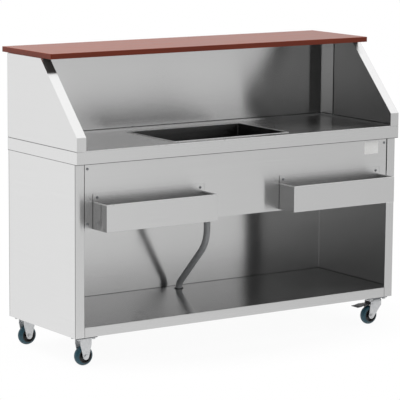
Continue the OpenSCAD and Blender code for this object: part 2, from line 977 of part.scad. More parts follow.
// Trough with a taller back plate, a hemmed front and closed ends, about x = 0
module bottle_rack() {
    y_wall = y_fascia - half_t;
    y_lip = y_rack + half_t;
    difference() {
        union() {
            along_x(rack_l / 2)
                union() {
                    folded([[y_wall, z_rack + rack_back_h], [y_wall, z_rack + half_t],
                        [y_lip, z_rack + half_t], [y_lip, z_rack + rack_h - sheet_t]], sheet_t, fold_mid);
                    translate([y_rack, z_rack + rack_h - sheet_t - hem_h])
                        square([2 * sheet_t, hem_h]);
                    translate([y_rack + sheet_t, z_rack + rack_h - sheet_t])
                        circle(sheet_t);
                }
            for (s = [-1, 1])
                translate([s * (rack_l - sheet_t) / 2, (y_rack + y_fascia) / 2, z_rack])
                    along_x(sheet_t / 2)
                        translate([0, rack_h - sheet_t])
                            mirror([0, 1])
                                arch(rack_d, rack_h - sheet_t, fold_r);
        }
        for (s = [-1, 1])
            translate([s * (rack_l / 2 - rack_screw_in), y_fascia, z_rack_screw])
                rotate([90, 0, 0])
                    cylinder(r = screw_hole_r, h = 20, center = true);
    }
}

module left_bottle_rack() {
    color("#c5c8cb")
        translate([-rack_x, 0, 0])
            bottle_rack();
}

module right_bottle_rack() {
    color("#c5c8cb")
        translate([rack_x, 0, 0])
            bottle_rack();
}

// Middle of a castor at the cabinet's lower edge; swivel castors trail to the left
module at_castor(x, y, turn = 0) {
    translate([x, y, z_base])
        rotate([0, 0, turn])
            children();
}

module bolt_places() {
    for (x = [left_x, right_x], y = [castor_front_y, castor_back_y], i = [-1, 1], j = [-1, 1])
        translate([x + i * bolt_dx / 2, y + j * bolt_dy / 2, z_base])
            children();
}

module bolt_hole() {
    cylinder(r = bolt_hole_r, h = 60, center = true);
}

module castor_bolts() {
    color("#a4a8ac")
        bolt_places() {
            translate([0, 0, rail_t])
                cylinder(r = bolt_af_r, h = bolt_head_h, $fn = 6);
            translate([0, 0, -plate_t - bolt_nut_h - 1.2])
                cylinder(r = bolt_r, h = rail_t + plate_t + bolt_nut_h + 1.2 + EPS);
        }
}

module castor_nuts() {
    color("#9da1a5")
        bolt_places()
            translate([0, 0, -plate_t - bolt_nut_h])
                difference() {
                    cylinder(r = bolt_af_r, h = bolt_nut_h, $fn = 6);
                    translate([0, 0, -1])
                        cylinder(r = bolt_r, h = bolt_nut_h + 2);
                }
}

module castor_plate() {
    difference() {
        translate([0, 0, -plate_t])
            linear_extrude(plate_t)
                rounded_rect(plate_l, plate_w, 8);
        for (i = [-1, 1], j = [-1, 1])
            translate([i * bolt_dx / 2, j * bolt_dy / 2, 0])
                bolt_hole();
    }
}

// Outline of a fork leg: from w_top over the width u0..u1 down to a round end at the axle
module leg_outline(u0, u1, w_top, w_side, axle_u) {
    axle = [axle_u, axle_w];
    polygon([[u0, w_side], [u0, w_top], [u1, w_top], [u1, w_side],
        touch([u1, w_side], axle, leg_end_r, -1), axle, touch([u0, w_side], axle, leg_end_r, 1)]);
    translate(axle)
        circle(leg_end_r);
}

// Sheet bent over the wheel, crown on top
module fork_sheet(w_top) {
    along_x(60)
        folded([[-leg_mid, axle_w - 20], [-leg_mid, w_top - fork_t / 2], [leg_mid, w_top - fork_t / 2],
            [leg_mid, axle_w - 20]], fork_t, leg_fold);
}

module cross_hole(u, w, r) {
    translate([u, 0, w])
        rotate([90, 0, 0])
            cylinder(r = r, h = 100, center = true);
}

module rigid_fork() {
    color("#b7babd")
        difference() {
            union() {
                castor_plate();
                intersection() {
                    fork_sheet(-plate_t + EPS);
                    along_y(-40, 40)
                        leg_outline(-leg_half, leg_half, 0, -plate_t - 26, 0);
                }
            }
            cross_hole(0, axle_w, axle_hole_r);
        }
}

module swivel_fork() {
    color("#b7babd")
        difference() {
            union() {
                intersection() {
                    fork_sheet(crown_top);
                    along_y(-40, 40)
                        leg_outline(-28, 31, 0, crown_low - 8, trail);
                    translate([0, 0, -200])
                        linear_extrude(220)
                            union() {
                                circle(30);
                                translate([0, -leg_out - 1])
                                    square([trail + 20, 2 * leg_out + 2]);
                            }
                }
                rotate_extrude()
                    difference() {
                        translate([17, crown_top - EPS])
                            square([8.5, race_low - crown_top + EPS]);
                        translate([race_r, ball_w])
                            circle(groove_r);
                    }
            }
            cylinder(r = pin_r + RUN, h = 200, center = true);
            cross_hole(trail, axle_w, axle_hole_r);
            cross_hole(brake_u, brake_w, brake_pin_r);
        }
}

module swivel_plate() {
    color("#6d7073")
        difference() {
            union() {
                castor_plate();
                rotate_extrude()
                    difference() {
                        union() {
                            translate([0, race_up])
                                square([28, -plate_t - race_up + EPS]);
                            translate([26.2, race_low - 1.4])
                                square([1.8, -plate_t - race_low + 1.4]);
                        }
                        translate([race_r, ball_w])
                            circle(groove_r);
                    }
            }
            translate([0, 0, -plate_t])
                cylinder(r = pin_head_r + 0.2, h = 20);
            cylinder(r = pin_r, h = 60, center = true);
        }
}

module kingpin() {
    color("#8a8d90")
        rotate_extrude()
            union() {
                translate([0, crown_low - GAP - EPS])
                    square([pin_r, -plate_t - crown_low + GAP + 2 * EPS]);
                translate([0, -plate_t])
                    square([pin_head_r, pin_head_h]);
                translate([0, crown_low - GAP - pin_head_h])
                    square([pin_head_r, pin_head_h]);
            }
}

module swivel_balls() {
    color("#c8cacc")
        for (i = [0 : ball_count - 1])
            rotate([0, 0, i * 360 / ball_count])
                translate([race_r, 0, ball_w])
                    sphere(ball_r);
}

// Hexagon bolt through the fork, with its nut at the far side
module axle(u) {
    color("#a4a8ac")
        translate([u, 0, axle_w])
            rotate([90, 0, 0]) {
                translate([0, 0, -leg_out - bolt_nut_h - 1.5])
                    cylinder(r = axle_r, h = 2 * leg_out + bolt_nut_h + 1.5 + EPS);
                translate([0, 0, leg_out])
                    cylinder(r = bolt_af_r, h = bolt_head_h, $fn = 6);
                translate([0, 0, -leg_out - bolt_nut_h])
                    difference() {
                        cylinder(r = bolt_af_r, h = bolt_nut_h, $fn = 6);
                        translate([0, 0, -1])
                            cylinder(r = axle_r + RUN, h = bolt_nut_h + 2);
                    }
            }
}

module hub(u) {
    rim_half = wheel_w / 2 - 1;
    color("#1f2123")
        translate([u, 0, axle_w])
            rotate([90, 0, 0])
                rotate_extrude()
                    union() {
                        translate([axle_r + RUN, -boss_half])
                            square([6, 2 * boss_half]);
                        translate([axle_r + RUN, -5])
                            square([hub_r - axle_r - RUN, 10]);
                        translate([hub_r - 4, -rim_half])
                            square([4, 2 * rim_half]);
                    }
}

module tyre(u) {
    crown_r = wheel_w / 2 + 1.5;
    color("#2f7f93")
        translate([u, 0, axle_w])
            rotate([90, 0, 0])
                rotate_extrude()
                    intersection() {
                        translate([hub_r, -wheel_w / 2])
                            square([wheel_r - hub_r, wheel_w]);
                        translate([wheel_r - crown_r, 0])
                            circle(crown_r);
                    }
}

module brake_pin() {
    color("#9da1a5")
        translate([brake_u, 0, brake_w])
            rotate([90, 0, 0]) {
                cylinder(r = brake_pin_r, h = 2 * leg_out + EPS, center = true);
                for (s = [0, 1])
                    mirror([0, 0, s])
                        translate([0, 0, leg_out])
                            cylinder(r = brake_pin_r + 2, h = 1.5);
            }
}

// Bar of the pedal's thickness between two points, with round ends
module pedal_bar(p, q) {
    d = q - p;
    translate(p)
        rotate(atan2(d[1], d[0]))
            translate([0, -pedal_t / 2])
                square([norm(d), pedal_t]);
    for (c = [p, q])
        translate(c)
            circle(pedal_t / 2);
}

module brake_pedal() {
    color("#2a2c2e")
        translate([brake_u, 0, brake_w])
            difference() {
                union() {
                    along_y(-leg_in + 1.2, leg_in - 1.2)
                        union() {
                            circle(eye_r);
                            pedal_bar([0, 0], pedal_a);
                        }
                    along_y(-11, 11)
                        rotate(pedal_deg)
                            translate([shoe_at, -shoe_drop])
                                circle(shoe_r);
                    along_y(-leg_out + 1, leg_out - 1)
                        union() {
                            pedal_bar(pedal_a, pedal_b);
                            pedal_bar(pedal_b, pedal_c);
                        }
                    for (f = [0.3, 0.55, 0.8])
                        translate([pedal_b[0] + f * 15, 0, pedal_b[1] - f * 15 * sin(3) + pedal_t / 2])
                            along_y(-leg_out + 4, leg_out - 4)
                                circle(0.9);
                }
                rotate([90, 0, 0])
                    cylinder(r = brake_pin_r + RUN, h = 60, center = true);
            }
}

module front_left_fork() { at_castor(left_x, castor_front_y) rigid_fork(); }
module front_left_axle() { at_castor(left_x, castor_front_y) axle(0); }
module front_left_hub() { at_castor(left_x, castor_front_y) hub(0); }
module front_left_tyre() { at_castor(left_x, castor_front_y) tyre(0); }
module rear_left_fork() { at_castor(left_x, castor_back_y) rigid_fork(); }
module rear_left_axle() { at_castor(left_x, castor_back_y, 180) axle(0); }
module rear_left_hub() { at_castor(left_x, castor_back_y) hub(0); }
module rear_left_tyre() { at_castor(left_x, castor_back_y) tyre(0); }
module front_right_plate() { at_castor(right_x, castor_front_y, 180) swivel_plate(); }
module front_right_kingpin() { at_castor(right_x, castor_front_y, 180) kingpin(); }
module front_right_balls() { at_castor(right_x, castor_front_y, 180) swivel_balls(); }
module front_right_fork() { at_castor(right_x, castor_front_y, 180) swivel_fork(); }
module front_right_axle() { at_castor(right_x, castor_front_y, 180) axle(trail); }
module front_right_hub() { at_castor(right_x, castor_front_y, 180) hub(trail); }
module front_right_tyre() { at_castor(right_x, castor_front_y, 180) tyre(trail); }
module front_right_brake_pin() { at_castor(right_x, castor_front_y, 180) brake_pin(); }
module front_right_pedal() { at_castor(right_x, castor_front_y, 180) brake_pedal(); }
module rear_right_plate() { at_castor(right_x, castor_back_y, 180) swivel_plate(); }
module rear_right_kingpin() { at_castor(right_x, castor_back_y, 180) kingpin(); }
module rear_right_balls() { at_castor(right_x, castor_back_y, 180) swivel_balls(); }
module rear_right_fork() { at_castor(right_x, castor_back_y, 180) swivel_fork(); }
module rear_right_axle() { at_castor(right_x, castor_back_y, 180) axle(trail); }
module rear_right_hub() { at_castor(right_x, castor_back_y, 180) hub(trail); }
module rear_right_tyre() { at_castor(right_x, castor_back_y, 180) tyre(trail); }
module rear_right_brake_pin() { at_castor(right_x, castor_back_y, 180) brake_pin(); }
module rear_right_pedal() { at_castor(right_x, castor_back_y, 180) brake_pedal(); }

base_shelf();
left_castor_rail();
right_castor_rail();
left_side_panel();
right_side_panel();
lower_back_panel();
back_panel_rivets();
front_fascia();
fascia_strips();
left_fascia_bracket();
right_fascia_bracket();
fascia_screws();
worktop();
worktop_rim();
worktop_apron();
ice_bin();
drain_flange();
drain_gasket();
drain_nut();
drain_hose();
hose_clip();
shelf_grommet();
left_riser_panel();
right_riser_panel();
riser_back_panel();
riser_screws();
top_strip();
bar_top();
bar_top_screws();
left_bottle_rack();
right_bottle_rack();
rack_screws();
castor_bolts();
castor_nuts();
front_left_fork();
front_left_axle();
front_left_hub();
front_left_tyre();
rear_left_fork();
rear_left_axle();
rear_left_hub();
rear_left_tyre();
front_right_plate();
front_right_kingpin();
front_right_balls();
front_right_fork();
front_right_axle();
front_right_hub();
front_right_tyre();
front_right_brake_pin();
front_right_pedal();
rear_right_plate();
rear_right_kingpin();
rear_right_balls();
rear_right_fork();
rear_right_axle();
rear_right_hub();
rear_right_tyre();
rear_right_brake_pin();
rear_right_pedal();
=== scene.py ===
import json
import math

import bmesh
import bpy
from mathutils import Matrix, Vector


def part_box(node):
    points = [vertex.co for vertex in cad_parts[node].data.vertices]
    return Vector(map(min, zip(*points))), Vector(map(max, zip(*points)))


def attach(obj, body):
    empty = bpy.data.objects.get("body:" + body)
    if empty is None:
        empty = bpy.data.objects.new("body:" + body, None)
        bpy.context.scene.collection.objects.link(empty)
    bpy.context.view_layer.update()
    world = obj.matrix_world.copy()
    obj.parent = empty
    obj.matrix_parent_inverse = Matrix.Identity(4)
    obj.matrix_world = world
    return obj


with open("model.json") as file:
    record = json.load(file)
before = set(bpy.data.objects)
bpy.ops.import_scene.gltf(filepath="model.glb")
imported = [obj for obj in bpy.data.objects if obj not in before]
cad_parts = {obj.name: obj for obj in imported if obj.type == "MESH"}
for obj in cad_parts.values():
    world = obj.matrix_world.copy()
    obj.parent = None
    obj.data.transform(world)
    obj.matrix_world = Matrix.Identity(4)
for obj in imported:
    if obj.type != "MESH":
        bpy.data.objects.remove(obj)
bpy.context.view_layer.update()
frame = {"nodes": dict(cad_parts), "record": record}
nodes = frame["nodes"]
scene = bpy.context.scene
print("frame loaded:", len(nodes), "nodes")

# camera at the photograph's angle, metres and degrees
cameraView = {
    "place": (-4.9520, -7.1652, 1.9350),
    "yaw": 34.422,     # to the right of straight along +Y
    "pitch": 9.114,    # downwards
    "roll": 0.417,
    "lens": 202.23,
    "sensor": 36.0,
    "reach": 60.0,
}


def placeCamera(view):
    camera = bpy.data.cameras.new("camera")
    camera.lens = view["lens"]
    camera.sensor_width = view["sensor"]
    camera.clip_end = view["reach"]
    eye = bpy.data.objects.new("camera", camera)
    scene.collection.objects.link(eye)
    turn = Matrix.Rotation(-math.radians(view["yaw"]), 4, "Z")
    tilt = Matrix.Rotation(math.radians(90 - view["pitch"]), 4, "X")
    roll = Matrix.Rotation(math.radians(view["roll"]), 4, "Z")
    eye.matrix_world = Matrix.Translation(view["place"]) @ turn @ tilt @ roll
    scene.camera = eye


placeCamera(cameraView)
scene.view_settings.view_transform = "Standard"
print("camera set")


# sRGB hex to linear
def srgb(code):
    parts = [int(code[i:i + 2], 16) / 255 for i in (1, 3, 5)]
    linear = [c / 12.92 if c <= 0.04045 else ((c + 0.055) / 1.055) ** 2.4 for c in parts]
    return (*linear, 1.0)


# one node, its settings and what feeds it
def addNode(tree, kind, settings=None, links=None):
    node = tree.nodes.new("ShaderNode" + kind)
    for name, value in (settings or {}).items():
        if isinstance(name, int) or name in node.inputs:
            node.inputs[name].default_value = value
        else:
            setattr(node, name, value)
    for name, source in (links or {}).items():
        tree.links.new(source, node.inputs[name])
    return node


# cleared node tree of a material or world
def emptyTree(owner):
    owner.use_nodes = True
    owner.node_tree.nodes.clear()
    return owner.node_tree


def newMaterial(name, constants):
    material = bpy.data.materials.new(name)
    tree = emptyTree(material)
    shader = addNode(tree, "BsdfPrincipled", constants)
    addNode(tree, "OutputMaterial", links={"Surface": shader.outputs["BSDF"]})
    place = addNode(tree, "TexCoord").outputs["Object"]
    return material, tree, shader, place


# stretched or even noise, sizes of one cell in metres
def addGrain(tree, place, cell, detail):
    scaled = addNode(tree, "Mapping", {"Scale": [1 / c for c in cell]}, {"Vector": place})
    noise = addNode(tree, "TexNoise", {"Scale": 1.0, "Detail": detail}, {"Vector": scaled.outputs[0]})
    return noise.outputs[0]


# a mix node's sockets by kind: first value, second value, result
mixSockets = {"FLOAT": (2, 3, 0), "RGBA": (6, 7, 2)}


# mix of two values, each a constant or another node's output
def addMix(tree, kind, factor, first, second):
    firstPlace, secondPlace, result = mixSockets[kind]
    mix = addNode(tree, "Mix", {"data_type": kind}, {0: factor})
    for place, value in ((firstPlace, first), (secondPlace, second)):
        if isinstance(value, bpy.types.NodeSocket):
            tree.links.new(value, mix.inputs[place])
        else:
            mix.inputs[place].default_value = value
    return mix.outputs[result]


def addTones(tree, factor, first, second):
    return addMix(tree, "RGBA", factor, srgb(first), srgb(second))


def addMath(tree, operation, *values):
    return addNode(tree, "Math", {"operation": operation}, dict(enumerate(values))).outputs[0]


# noise lies mostly between 0.3 and 0.7
def addRange(tree, value, low, high, fromLow=0.3, fromHigh=0.7):
    settings = {"From Min": fromLow, "From Max": fromHigh, "To Min": low, "To Max": high}
    return addNode(tree, "MapRange", settings, {"Value": value}).outputs[0]


# stainless sheet, cold rolled and brushed along one axis: reflections stay readable along the grain
# and smear across it, and the thin sheet waves a little
steelSheet = {
    "rolled": ("#DCDCDC", "#DFDFDF"),
    "binShade": ("#828282", "#8E8E8E"),     # painted shade: the bin is the same steel, drawn darker for the shade in its recess
    "rackMetal": 0.92,       # the racks are bent from a milkier sheet
    "roughness": (0.19, 0.21),
    "smear": 0.96,
    "smearSkew": 0.05,       # keeps the smear's direction defined on faces square to the grain
    "grainLength": 0.30,
    "grainWidth": 0.003,     # the real lines are 0.1 mm, too fine to show
    "grainDetail": 3.0,
    "waveSize": 0.30,
    "waveDepth": 0.0007,
    "waveDetail": 1.0,
    # folds spring back by 4 to 5 degrees: which faces, and where their normals turn
    "returnsLean": ("X", (0.0, 0.08, 0.0)),
    "edgeLean": ("Y", (0.0, 0.0, 0.07)),
}


def makeSteel(name, axis, lean=None, tones="rolled", metal=1.0):
    look = steelSheet
    material, tree, shader, place = newMaterial(name, {"Metallic": metal, "Anisotropic": look["smear"]})
    cell = [look["grainWidth"]] * 3
    cell[axis] = look["grainLength"]
    grain = addGrain(tree, place, cell, look["grainDetail"])
    tone = addTones(tree, addRange(tree, grain, 0, 1), *look[tones])
    tree.links.new(tone, shader.inputs["Base Color"])
    tree.links.new(addRange(tree, grain, *look["roughness"]), shader.inputs["Roughness"])
    normal = addNode(tree, "NewGeometry").outputs["Normal"]
    wave = addGrain(tree, place, [look["waveSize"]] * 3, look["waveDetail"])
    bump = addNode(tree, "Bump", {"Strength": 1.0, "Distance": look["waveDepth"]}, {"Height": wave})
    if lean:
        faces, turn = look[lean]
        squares = addNode(tree, "VectorMath", {"operation": "MULTIPLY"}, {0: normal, 1: normal})
        share = addNode(tree, "SeparateXYZ", links={0: squares.outputs[0]}).outputs[faces]
        shift = addNode(tree, "VectorMath", {"operation": "SCALE", 0: turn}, {"Scale": share})
        leaning = addNode(tree, "VectorMath", {"operation": "ADD"}, {0: normal, 1: shift.outputs[0]})
        leaning = addNode(tree, "VectorMath", {"operation": "NORMALIZE"}, {0: leaning.outputs[0]})
        tree.links.new(leaning.outputs[0], bump.inputs["Normal"])
    tree.links.new(bump.outputs[0], shader.inputs["Normal"])
    # the smear runs square to the grain, in the sheet's plane
    line = [look["smearSkew"], look["smearSkew"], 0.0]
    line[axis] = 1.0
    across = addNode(tree, "VectorMath", {"operation": "CROSS_PRODUCT", 1: line}, {0: normal})
    tree.links.new(across.outputs[0], shader.inputs["Tangent"])
    return material


# decorative laminate on board, pressed with a satin sheet: fine straight grain, pale glare at low angles
barWood = {
    "face": ("#78301A", "#99441F"),
    "pore": "#5A2212",
    "band": ("#622009", "#76290E"),     # edge band, darker than the face
    "backing": "#45403E",    # brown paper sheet that balances the board on its underside
    "grainLength": 0.34,
    "grainWidth": 0.009,
    "grainDetail": 4.0,
    "poreLength": 0.05,
    "poreWidth": 0.0025,     # drawn wider than the real 0.4 mm so that it shows
    "poreDetail": 2.0,
    "poreRange": (0.58, 0.72),
    "poreShare": 0.5,
    "poreDepth": 0.0002,
    "poreStrength": 0.3,
    "faceTurn": (0.4, 0.8),          # upward share of the normal where band turns to face
    "backingTurn": (-0.9, -0.6),     # and where backing turns to band
    "roughness": (0.32, 0.40),
    "ior": 1.5,
    "specular": 0.27,
}


def makeLaminate(name):
    look = barWood
    constants = {"IOR": look["ior"], "Specular IOR Level": look["specular"]}
    material, tree, shader, place = newMaterial(name, constants)
    cell = (look["grainLength"], look["grainWidth"], look["grainWidth"])
    grain = addGrain(tree, place, cell, look["grainDetail"])
    wood = addTones(tree, addRange(tree, grain, 0, 1), *look["face"])
    cell = (look["poreLength"], look["poreWidth"], look["poreWidth"])
    pores = addGrain(tree, place, cell, look["poreDetail"])
    share = addRange(tree, pores, 0, look["poreShare"], *look["poreRange"])
    tone = addMix(tree, "RGBA", share, wood, srgb(look["pore"]))
    normal = addNode(tree, "NewGeometry").outputs["Normal"]
    height = addNode(tree, "SeparateXYZ", links={0: normal}).outputs["Z"]
    band = addTones(tree, addRange(tree, grain, 0, 1), *look["band"])
    face = addRange(tree, height, 0, 1, *look["faceTurn"])
    tone = addMix(tree, "RGBA", face, band, tone)
    below = addRange(tree, height, 1, 0, *look["backingTurn"])
    tone = addMix(tree, "RGBA", below, tone, srgb(look["backing"]))
    tree.links.new(tone, shader.inputs["Base Color"])
    tree.links.new(addRange(tree, grain, *look["roughness"]), shader.inputs["Roughness"])
    bump = addNode(tree, "Bump", {"Strength": look["poreStrength"], "Distance": look["poreDepth"]},
                   {"Height": pores})
    tree.links.new(bump.outputs[0], shader.inputs["Normal"])
    return material


# finishes that are one tone with a cloudy change and a fine surface: tones, roughness, cell sizes in metres
plainFinishes = {
    # zinc plated pressed steel: milky silver with cloudy passivation; the mounting plate on top is painted
    # dark, a painted shade for the shade under the cabinet
    "zincPlate": {"metal": 0.55, "tones": ("#C9CBCD", "#DADBDC"), "roughness": (0.28, 0.40),
                  "cloud": 0.012, "grit": 0.0012, "depth": 0.00002,
                  # painted shade: dark tone on the mounting plate from this height up, for the shade under
                  # the cabinet
                  "plate": "#4E5053", "plateShadeHeight": (0.1080, 0.1088)},
    # thicker plate, plated; its dark tone is painted shade for the shade under the cabinet
    "shadedPlate": {"metal": 1.0, "tones": ("#6A6C6F", "#84868A"), "roughness": (0.38, 0.50),
                  "cloud": 0.015, "grit": 0.0012, "depth": 0.00002},
    # elastic rubber tread, moulded and slightly dusty
    "blueRubber": {"metal": 0.0, "tones": ("#183D4A", "#224F5D"), "roughness": (0.36, 0.50),
                   "cloud": 0.010, "grit": 0.0010, "depth": 0.00003},
    # injection moulded nylon: black with a fine spark texture
    "blackNylon": {"metal": 0.0, "tones": ("#121315", "#1E2022"), "roughness": (0.40, 0.52),
                   "cloud": 0.012, "grit": 0.0008, "depth": 0.00004},
    # pressed steel with black stoved paint
    "blackPaint": {"metal": 0.0, "tones": ("#17181A", "#232527"), "roughness": (0.30, 0.42),
                   "cloud": 0.015, "grit": 0.0010, "depth": 0.00003},
    # screw steel with a grey phosphate coat: dull
    "greyScrew": {"metal": 1.0, "tones": ("#86888B", "#9C9EA1"), "roughness": (0.30, 0.42),
                  "cloud": 0.003, "grit": 0.0006, "depth": 0.00002},
    # bright drawn steel: rivets, balls, clip and screws
    "brightSteel": {"metal": 1.0, "tones": ("#C4C6C8", "#D8DADB"), "roughness": (0.18, 0.28),
                    "cloud": 0.004, "grit": 0.0006, "depth": 0.00001},
    # steel edge ground smooth by hand: pale and satin
    "satinEdge": {"metal": 0.60, "tones": ("#D6D6D6", "#E2E2E2"), "roughness": (0.26, 0.36),
                  "cloud": 0.010, "grit": 0.0006, "depth": 0.00001},
    # chromed brass drain fitting: nearly a mirror with water marks
    "chromedBrass": {"metal": 1.0, "tones": ("#D6D8DA", "#E4E5E6"), "roughness": (0.07, 0.16),
                     "cloud": 0.010, "grit": 0.0010, "depth": 0.00001},
    # extruded PVC hose: smooth mid grey, slightly cloudy
    "greyPvc": {"metal": 0.0, "tones": ("#989A9C", "#A8AAAC"), "roughness": (0.30, 0.40),
                "cloud": 0.020, "grit": 0.0014, "depth": 0.00003},
    # moulded black rubber: matt
    "mattRubber": {"metal": 0.0, "tones": ("#151515", "#202020"), "roughness": (0.62, 0.75),
                   "cloud": 0.006, "grit": 0.0008, "depth": 0.00004},
    # white polyester film label: smooth, half glossy
    "whiteFilm": {"metal": 0.0, "tones": ("#F1F1EF", "#F7F7F6"), "roughness": (0.30, 0.38),
                  "cloud": 0.010, "grit": 0.0010, "depth": 0.00001},
}
plainNoise = {"cloudDetail": 3.0, "gritDetail": 2.0, "gritStrength": 0.5}


def makePlain(name, look):
    material, tree, shader, place = newMaterial(name, {"Metallic": look["metal"]})
    cloud = addGrain(tree, place, [look["cloud"]] * 3, plainNoise["cloudDetail"])
    tone = addTones(tree, addRange(tree, cloud, 0, 1), *look["tones"])
    # painted shade: above the given height the tone turns dark, for the shade under the cabinet
    if "plate" in look:
        height = addNode(tree, "SeparateXYZ", links={0: place}).outputs["Z"]
        share = addRange(tree, height, 0, 1, *look["plateShadeHeight"])
        tone = addMix(tree, "RGBA", share, tone, srgb(look["plate"]))
    tree.links.new(tone, shader.inputs["Base Color"])
    tree.links.new(addRange(tree, cloud, *look["roughness"]), shader.inputs["Roughness"])
    grit = addGrain(tree, place, [look["grit"]] * 3, plainNoise["gritDetail"])
    bump = addNode(tree, "Bump", {"Strength": plainNoise["gritStrength"], "Distance": look["depth"]},
                   {"Height": grit})
    tree.links.new(bump.outputs[0], shader.inputs["Normal"])
    return material


alongX, alongY = 0, 1
materials = {name: makePlain(name, look) for name, look in plainFinishes.items()}
materials["steelAlongX"] = makeSteel("steelAlongX", alongX)
materials["steelAlongY"] = makeSteel("steelAlongY", alongY)
materials["steelReturns"] = makeSteel("steelReturns", alongX, lean="returnsLean")
materials["steelShelf"] = makeSteel("steelShelf", alongX, lean="edgeLean")
materials["steelRack"] = makeSteel("steelRack", alongX, metal=steelSheet["rackMetal"])
# painted shade: darker steel for the shade inside the bin
materials["steelBinShade"] = makeSteel("steelBinShade", alongX, tones="binShade")
materials["barLaminate"] = makeLaminate("barLaminate")
print("materials made:", len(materials))

# finish of each material slot of the record; sheets are brushed along their longer side
slotFinish = {
    "stainless_steel": "steelAlongX",
    "bar_laminate": "barLaminate",
    "zinc_steel": "zincPlate",
    # painted shade: the swivel castors' plate is drawn dark for the shade under the cabinet
    "dark_plate": "shadedPlate",
    "blue_tyre": "blueRubber",
    "black_nylon": "blackNylon",
    "black_steel": "blackPaint",
    "dark_fastener": "greyScrew",
    "bright_fastener": "brightSteel",
    "chromed_brass": "chromedBrass",
    "grey_pvc": "greyPvc",
    "black_rubber": "mattRubber",
}
sheetFinish = {"riser_back_panel": "steelReturns", "base_shelf": "steelShelf", "ice_bin": "steelBinShade"}
for side in ("left", "right"):
    sheetFinish[side + "_bottle_rack"] = "steelRack"
    for sheet in ("_side_panel", "_riser_panel", "_castor_rail"):
        sheetFinish[side + sheet] = "steelAlongY"

for part in frame["record"]["subparts"]:
    name = part["node"]
    mesh = nodes[name].data
    mesh.materials.clear()
    mesh.materials.append(materials[sheetFinish.get(name, slotFinish[part["material_slot"]])])
print("CAD nodes dressed")


# mesh object at the origin from a bmesh
def addPiece(name, shape, finish, body):
    mesh = bpy.data.meshes.new(name)
    shape.to_mesh(mesh)
    shape.free()
    mesh.materials.append(materials[finish])
    piece = bpy.data.objects.new(name, mesh)
    scene.collection.objects.link(piece)
    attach(piece, body)


# blank label on the fascia, right of the middle and under the apron
label = {
    "low": (0.596, 0.702),     # x and z of its lower left corner
    "size": (0.070, 0.050),
    "thick": 0.0002,
    "corner": 0.003,
    "steps": 5,
}


def makeLabel(look):
    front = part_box("front_fascia")[0].y
    middle = [low + size / 2 for low, size in zip(look["low"], look["size"])]
    shape = bmesh.new()
    place = Matrix.Translation((middle[0], front - look["thick"] / 2, middle[1]))
    size = Matrix.Diagonal((look["size"][0], look["thick"], look["size"][1], 1))
    bmesh.ops.create_cube(shape, size=1.0, matrix=place @ size)
    corners = [e for e in shape.edges if abs((e.verts[0].co - e.verts[1].co).y) > look["thick"] / 2]
    bmesh.ops.bevel(shape, geom=corners, offset=look["corner"], offset_type="OFFSET", affect="EDGES",
                    segments=look["steps"], profile=0.5, material=-1)
    addPiece("fascia_label", shape, "whiteFilm", "cabinet")


makeLabel(label)
print("label made")

sharpEdge = 1.0     # radians between two faces


# flat ring, raised or hung from a level, with its free rim rounded
def makeRing(name, look, middle, half, finish):
    shape = bmesh.new()
    place = Matrix.Translation(middle) @ Matrix.Diagonal((*half, 1, 1))
    bmesh.ops.create_grid(shape, x_segments=1, y_segments=1, size=1.0, matrix=place)
    if "corner" in look:
        bmesh.ops.bevel(shape, geom=list(shape.verts), offset=look["corner"], offset_type="OFFSET",
                        affect="VERTICES", segments=look["cornerSteps"], profile=0.5, material=-1)
    inner = list(shape.faces)
    bmesh.ops.inset_region(shape, faces=inner, thickness=look["width"], use_boundary=True,
                           use_even_offset=True)
    bmesh.ops.delete(shape, geom=inner, context="FACES")
    ring = bmesh.ops.extrude_face_region(shape, geom=list(shape.faces))
    moved = [v for v in ring["geom"] if isinstance(v, bmesh.types.BMVert)]
    bmesh.ops.translate(shape, verts=moved, vec=(0, 0, look["rise"]))
    bmesh.ops.recalc_face_normals(shape, faces=list(shape.faces))
    rim = [e for e in shape.edges if all(v in moved for v in e.verts) and len(e.link_faces) == 2
           and e.calc_face_angle() > sharpEdge]
    bmesh.ops.bevel(shape, geom=rim, offset=look["round"], offset_type="OFFSET", affect="EDGES",
                    segments=look["steps"], profile=0.5, material=-1)
    addPiece(name, shape, finish, "cabinet")


# black rubber strip under the apron, all round: painted shade for the shadow line under the apron's edge
apronShadowStrip = {"inside": 0.0003, "width": 0.0016, "rise": -0.0018, "round": 0.0003, "steps": 3}


def makeApronShadowStrip(look):
    low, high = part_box("worktop_apron")
    middle = (low + high) / 2
    half = (high - low) / 2
    # painted shade: a black strip where the apron's edge throws its shadow line
    makeRing("apron_shadow_strip", look, (middle.x, middle.y, low.z),
             (half.x - look["inside"], half.y - look["inside"]), "mattRubber")


makeApronShadowStrip(apronShadowStrip)

# black strips and beads in the joints: painted shade for the shadow lines in the gaps between sheets
shadowStrips = {
    "round": 0.0002,
    "steps": 3,
    "gap": 0.0003,
    "deep": 0.0008,
    "seam": 0.0012,      # between riser and worktop
    "set": 0.0006,       # below the outer faces
    "behind": 0.003,
    "bead": 0.0012,
    "proud": 0.0004,
    "sheet": 0.0012,     # thickness of the riser's sheet
    "foot": 0.0016,      # painted shade: strip for the shadow line at the riser's foot
    "lap": 0.0035,       # painted shade: bead for the shadow line beside a return's edge, width and height
    "lapProud": 0.0014,
}


# rounded bar between low and high in x, y and z
def makeStrip(name, x, y, z, radius=shadowStrips["round"], finish="mattRubber"):
    low, high = (Vector(corner) for corner in zip(sorted(x), sorted(y), sorted(z)))
    shape = bmesh.new()
    place = Matrix.Translation((low + high) / 2)
    bmesh.ops.create_cube(shape, size=1.0, matrix=place @ Matrix.Diagonal((*(high - low), 1)))
    bmesh.ops.bevel(shape, geom=list(shape.edges), offset=radius, offset_type="OFFSET", affect="EDGES",
                    segments=shadowStrips["steps"], profile=0.5, material=-1)
    addPiece(name, shape, finish, "cabinet")
